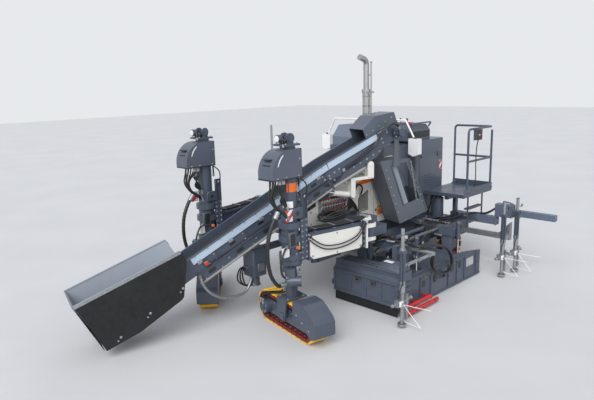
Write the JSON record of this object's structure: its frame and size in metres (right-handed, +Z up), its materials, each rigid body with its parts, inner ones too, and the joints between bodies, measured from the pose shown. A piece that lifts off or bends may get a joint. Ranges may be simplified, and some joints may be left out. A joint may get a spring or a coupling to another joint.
{
  "type": "slipform paver",
  "caption": "Offset slipform paver on four steerable crawler tracks with lifting columns, swing arms, loading conveyor, trimmer and kerb mould",
  "frame": {"origin": "on the ground under the centre of the machine's overall box", "axes": "+X is the travel direction, +Y the machine's left side, +Z up"},
  "size_m": [7.0676, 4.2176, 3.7103],
  "materials": {
    "dark_paint": "satin dark grey machine paint",
    "cream_paint": "satin off-white paint",
    "light_strip": "light blue-grey paint",
    "black_rubber": "matt black rubber",
    "yellow_pad": "yellow polyurethane pads on a dark red chain",
    "galvanised": "galvanised steel",
    "rod_chrome": "polished piston rod",
    "engine_grey": "painted casting",
    "pick_steel": "worn steel"
  },
  "bodies": {
    "chassis": {"main_frame": "dark_paint", "front_beam": "dark_paint", "mould_carriers": "dark_paint", "rear_column_sleeves": "dark_paint", "side_panel": "cream_paint", "side_grille": "dark_paint", "front_housing": "dark_paint", "engine_housing": "dark_paint", "engine_block": "engine_grey", "service_cabinet": "dark_paint", "control_console": "dark_paint", "operator_deck": "dark_paint", "exhaust_stack": "galvanised", "marker_arch": "cream_paint", "body_masts": "galvanised", "mould": "dark_paint", "rear_beam": "dark_paint", "fixed_sensor_masts": "galvanised"},
    "left_arm": {"left_swing_arm": "dark_paint", "left_arm_panel": "cream_paint", "front_left_column": "dark_paint", "front_left_column_cover": "dark_paint"},
    "right_arm": {"right_swing_arm": "dark_paint", "right_arm_panel": "cream_paint", "front_right_column": "dark_paint", "front_right_column_cover": "dark_paint"},
    "left_swing_cylinder": {"left_swing_barrel": "dark_paint"},
    "left_swing_piston": {"left_swing_rod": "rod_chrome"},
    "right_swing_cylinder": {"right_swing_barrel": "dark_paint"},
    "right_swing_piston": {"right_swing_rod": "rod_chrome"},
    "conveyor_cradle": {"conveyor_cradle": "dark_paint"},
    "tilt_cylinder": {"tilt_barrel": "dark_paint"},
    "tilt_piston": {"tilt_rod": "rod_chrome"},
    "conveyor": {"conveyor_frame": "dark_paint", "conveyor_rollers": "dark_paint", "head_hood": "dark_paint", "conveyor_belt": "black_rubber", "conveyor_side_strips": "light_strip", "conveyor_hopper": "light_strip", "hopper_skirts": "black_rubber"},
    "chute": {"discharge_chute": "dark_paint"},
    "trimmer": {"trimmer_housing": "dark_paint", "trimmer_skirt": "black_rubber"},
    "trimmer_drum": {"trimmer_drum": "pick_steel"},
    "side_form": {"side_form": "dark_paint"},
    "engine_hood": {"engine_hood": "dark_paint"},
    "beam_slide": {"beam_slide": "dark_paint", "slide_sensor_mast": "galvanised"},
    "front_left_leg": {"front_left_lift_leg": "dark_paint"},
    "front_left_track": {"front_left_track_frame": "dark_paint", "front_left_track_loop": "yellow_pad"},
    "front_right_leg": {"front_right_lift_leg": "dark_paint"},
    "front_right_track": {"front_right_track_frame": "dark_paint", "front_right_track_loop": "yellow_pad"},
    "rear_left_leg": {"rear_left_lift_leg": "dark_paint"},
    "rear_left_track": {"rear_left_track_frame": "dark_paint", "rear_left_track_loop": "yellow_pad"},
    "rear_right_leg": {"rear_right_lift_leg": "dark_paint"},
    "rear_right_track": {"rear_right_track_frame": "dark_paint", "rear_right_track_loop": "yellow_pad"}
  },
  "joints": [
    {"name": "left_arm_swing", "type": "hinge", "parent": "chassis", "child": "left_arm", "pos_m": [-0.294, 0.569, 1.115], "axis": [0, 0, 1], "range_deg": [-5, 30]},
    {"name": "left_swing_barrel_turn", "type": "hinge", "parent": "left_arm", "child": "left_swing_cylinder", "pos_m": [0.69592, 0.36639, 0.868], "axis": [0, 0, 1], "range_deg": [-1.28, 2.65]},
    {"name": "left_swing_rod_stroke", "type": "slide", "parent": "left_swing_cylinder", "child": "left_swing_piston", "axis": [-1, -0.0022, 0], "range_m": [-0.021, 0.1163]},
    {"name": "right_arm_swing", "type": "hinge", "parent": "chassis", "child": "right_arm", "pos_m": [-0.294, -1.741, 1.115], "axis": [0, 0, 1], "range_deg": [-30, 5]},
    {"name": "right_swing_barrel_turn", "type": "hinge", "parent": "right_arm", "child": "right_swing_cylinder", "pos_m": [0.69592, -1.53839, 0.868], "axis": [0, 0, 1], "range_deg": [-2.65, 1.28]},
    {"name": "right_swing_rod_stroke", "type": "slide", "parent": "right_swing_cylinder", "child": "right_swing_piston", "axis": [-1, 0.0022, 0], "range_m": [-0.021, 0.1163]},
    {"name": "front_left_leg_lift", "type": "slide", "parent": "left_arm", "child": "front_left_leg", "axis": [0, 0, 1], "range_m": [-0.4, 0]},
    {"name": "front_left_track_steer", "type": "hinge", "parent": "front_left_leg", "child": "front_left_track", "pos_m": [1.086, 0.329, 0.22], "axis": [0, 0, 1], "range_deg": [-100, 15]},
    {"name": "front_right_leg_lift", "type": "slide", "parent": "right_arm", "child": "front_right_leg", "axis": [0, 0, 1], "range_m": [-0.4, 0]},
    {"name": "front_right_track_steer", "type": "hinge", "parent": "front_right_leg", "child": "front_right_track", "pos_m": [1.086, -1.501, 0.22], "axis": [0, 0, 1], "range_deg": [-70, 40]},
    {"name": "rear_left_leg_lift", "type": "slide", "parent": "chassis", "child": "rear_left_leg", "axis": [0, 0, 1], "range_m": [-0.3, 0]},
    {"name": "rear_left_track_steer", "type": "hinge", "parent": "rear_left_leg", "child": "rear_left_track", "pos_m": [-2.734, 0.179, 0.22], "axis": [0, 0, 1], "range_deg": [-20, 20]},
    {"name": "rear_right_leg_lift", "type": "slide", "parent": "chassis", "child": "rear_right_leg", "axis": [0, 0, 1], "range_m": [-0.3, 0]},
    {"name": "rear_right_track_steer", "type": "hinge", "parent": "rear_right_leg", "child": "rear_right_track", "pos_m": [-2.734, -1.501, 0.22], "axis": [0, 0, 1], "range_deg": [-20, 20]},
    {"name": "conveyor_slew", "type": "hinge", "parent": "chassis", "child": "conveyor_cradle", "pos_m": [-1.064, -0.276, 1.78], "axis": [0, 0, 1], "range_deg": [-6, 6]},
    {"name": "conveyor_tilt", "type": "hinge", "parent": "conveyor_cradle", "child": "conveyor", "pos_m": [-0.79839, 0.0465, 1.99371], "axis": [-0.2588, -0.9659, 0], "range_deg": [-1.5, 8]},
    {"name": "tilt_barrel_turn", "type": "hinge", "parent": "conveyor_cradle", "child": "tilt_cylinder", "pos_m": [-0.45529, 0.08397, 1.56], "axis": [-0.2588, -0.9659, 0], "range_deg": [-3.05, 11.92]},
    {"name": "tilt_rod_stroke", "type": "slide", "parent": "tilt_cylinder", "child": "tilt_piston", "axis": [0.9453, -0.2533, 0.2053], "range_m": [-0.0152, 0.0725]},
    {"name": "chute_swing", "type": "hinge", "parent": "conveyor", "child": "chute", "pos_m": [-1.26206, 0.17074, 2.37655], "axis": [0.2588, 0.9659, 0], "range_deg": [-15, 15]},
    {"name": "trimmer_lift", "type": "slide", "parent": "chassis", "child": "trimmer", "axis": [0, 0, 1], "range_m": [0, 0.2]},
    {"name": "trimmer_drum_spin", "type": "hinge", "parent": "trimmer", "child": "trimmer_drum", "pos_m": [-0.264, 0.604, 0.2], "axis": [0, 1, 0], "continuous": true},
    {"name": "side_form_lift", "type": "slide", "parent": "chassis", "child": "side_form", "axis": [0, 0, 1], "range_m": [0, 0.2]},
    {"name": "engine_hood_lift", "type": "hinge", "parent": "chassis", "child": "engine_hood", "pos_m": [-1.784, -1.248, 2.167], "axis": [1, 0, 0], "range_deg": [0, 60]},
    {"name": "beam_extension", "type": "slide", "parent": "chassis", "child": "beam_slide", "axis": [0, 1, 0], "range_m": [0, 0.2]}
  ],
  "couplings": [
    {"joint": "left_swing_barrel_turn", "follows": "left_arm_swing", "ratio": 0.05503},
    {"joint": "left_swing_rod_stroke", "follows": "left_arm_swing", "m_per_rad": 0.21825},
    {"joint": "right_swing_barrel_turn", "follows": "right_arm_swing", "ratio": 0.05503},
    {"joint": "right_swing_rod_stroke", "follows": "right_arm_swing", "m_per_rad": -0.21825},
    {"joint": "tilt_barrel_turn", "follows": "conveyor_tilt", "ratio": 1.3648},
    {"joint": "tilt_rod_stroke", "follows": "conveyor_tilt", "m_per_rad": 0.50508}
  ]
}
